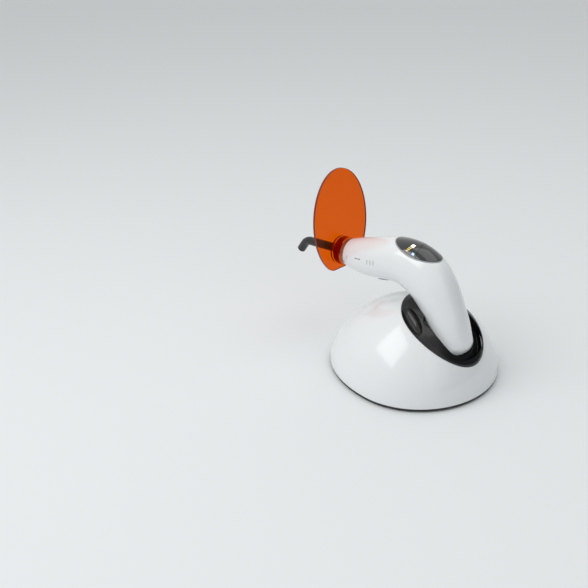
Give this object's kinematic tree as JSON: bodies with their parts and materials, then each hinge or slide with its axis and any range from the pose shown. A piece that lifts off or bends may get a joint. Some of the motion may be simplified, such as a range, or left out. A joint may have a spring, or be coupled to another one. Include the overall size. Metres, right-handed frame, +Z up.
{
  "type": "curing light",
  "caption": "Cordless dental curing light with an orange eye shield and bent light guide, standing in a domed charging base.",
  "frame": {"origin": "on the table under the base's plane of symmetry, 14 mm in front of the point under the dome's crown", "axes": "+Z up, -X where the light guide points, +X the side where the grip leans back, +Y the handpiece's left, with the mains inlet"},
  "size_m": [0.2211, 0.145, 0.1664],
  "materials": {
    "shell_white": "smooth glossy moulding",
    "plate_black": "fine spark texture",
    "cradle_black": "glossy moulding",
    "foot_rubber": "matt",
    "screw_steel": "zinc plated",
    "ballast_steel": "pressed steel",
    "circuit_board": "solder mask",
    "contact_gold": "gold plated",
    "spring_steel": "drawn wire",
    "bezel_black": "gloss",
    "display_glass": "polished lens",
    "display_frame": "matt",
    "cell_wrap": "shrink wrap",
    "lamp_board": "metal core board",
    "emitter_yellow": "silicone",
    "lens_glass": "polished",
    "sink_aluminium": "turned",
    "collar_metal": "satin anodised",
    "ring_plastic": "translucent",
    "shield_orange": "transparent light filter",
    "ferrule_steel": "turned",
    "guide_black": "satin",
    "button_grey": "satin",
    "key_black": "gloss"
  },
  "bodies": {
    "base": {"foot_ring": "foot_rubber", "base_plate": "plate_black", "base_shell": "shell_white", "base_screws": "screw_steel", "ballast_plate": "ballast_steel", "inlet_board": "circuit_board", "dc_inlet": "plate_black", "inlet_pin": "contact_gold", "cradle": "cradle_black", "charging_board": "circuit_board", "board_screws": "screw_steel", "contact_sleeves": "contact_gold", "contact_spring_left": "spring_steel", "contact_spring_right": "spring_steel"},
    "handpiece": {"right_shell": "shell_white", "left_shell": "shell_white", "handpiece_screws": "screw_steel", "contact_block": "plate_black", "charge_pads": "contact_gold", "display_bezel": "bezel_black", "display_window": "display_glass", "display_board": "circuit_board", "display_module": "display_frame", "key_switch": "plate_black", "main_board": "circuit_board", "power_switch": "plate_black", "button_spring": "spring_steel", "buzzer": "plate_black", "battery_cell": "cell_wrap", "battery_top_contact": "contact_gold", "battery_spring": "spring_steel", "led_board": "lamp_board", "led_emitter": "emitter_yellow", "collimator_lens": "lens_glass", "heat_sink": "sink_aluminium", "nose_collar": "collar_metal"},
    "shield_ring": {"shield_ring": "ring_plastic"},
    "shield": {"shield": "shield_orange"},
    "guide_collet": {"guide_collet": "screw_steel"},
    "light_guide": {"guide_ferrule": "ferrule_steel", "guide_sheath": "guide_black", "guide_core": "lens_glass"},
    "power_button": {"power_button": "button_grey"},
    "mode_key": {"mode_key": "key_black"},
    "contact_pin_left": {"contact_pin_left": "contact_gold"},
    "contact_pin_right": {"contact_pin_right": "contact_gold"}
  },
  "joints": [
    {"name": "handpiece_lift", "type": "slide", "parent": "base", "child": "handpiece", "axis": [-0.4695, 0, 0.8829], "range_m": [0, 0.12]},
    {"name": "shield_swivel", "type": "hinge", "parent": "handpiece", "child": "shield_ring", "pos_m": [-0.071, 0, 0.08996], "axis": [-0.9952, 0, -0.0976], "range_deg": [-100, 100]},
    {"name": "shield_pull", "type": "slide", "parent": "shield_ring", "child": "shield", "axis": [-0.9952, 0, -0.0976], "range_m": [0, 0.03]},
    {"name": "guide_turn", "type": "hinge", "parent": "handpiece", "child": "guide_collet", "pos_m": [-0.071, 0, 0.08996], "axis": [-0.9952, 0, -0.0976], "continuous": true},
    {"name": "guide_pull", "type": "slide", "parent": "guide_collet", "child": "light_guide", "axis": [-0.9952, 0, -0.0976], "range_m": [0, 0.03]},
    {"name": "power_press", "type": "slide", "parent": "handpiece", "child": "power_button", "axis": [-0.1736, 0, 0.9848], "range_m": [0, 0.0009], "stiffness_N_per_m": 1200, "springref_m": -0.0006, "deforming": ["button_spring"]},
    {"name": "mode_press", "type": "slide", "parent": "handpiece", "child": "mode_key", "axis": [-0.0523, 0, -0.9986], "range_m": [0, 0.0005], "stiffness_N_per_m": 1500, "springref_m": -0.0006},
    {"name": "contact_left_press", "type": "slide", "parent": "base", "child": "contact_pin_left", "axis": [0.4695, 0, -0.8829], "range_m": [0, 0.0012], "stiffness_N_per_m": 400, "springref_m": -0.0008, "deforming": ["contact_spring_left"]},
    {"name": "contact_right_press", "type": "slide", "parent": "base", "child": "contact_pin_right", "axis": [0.4695, 0, -0.8829], "range_m": [0, 0.0012], "stiffness_N_per_m": 400, "springref_m": -0.0008, "deforming": ["contact_spring_right"]}
  ]
}
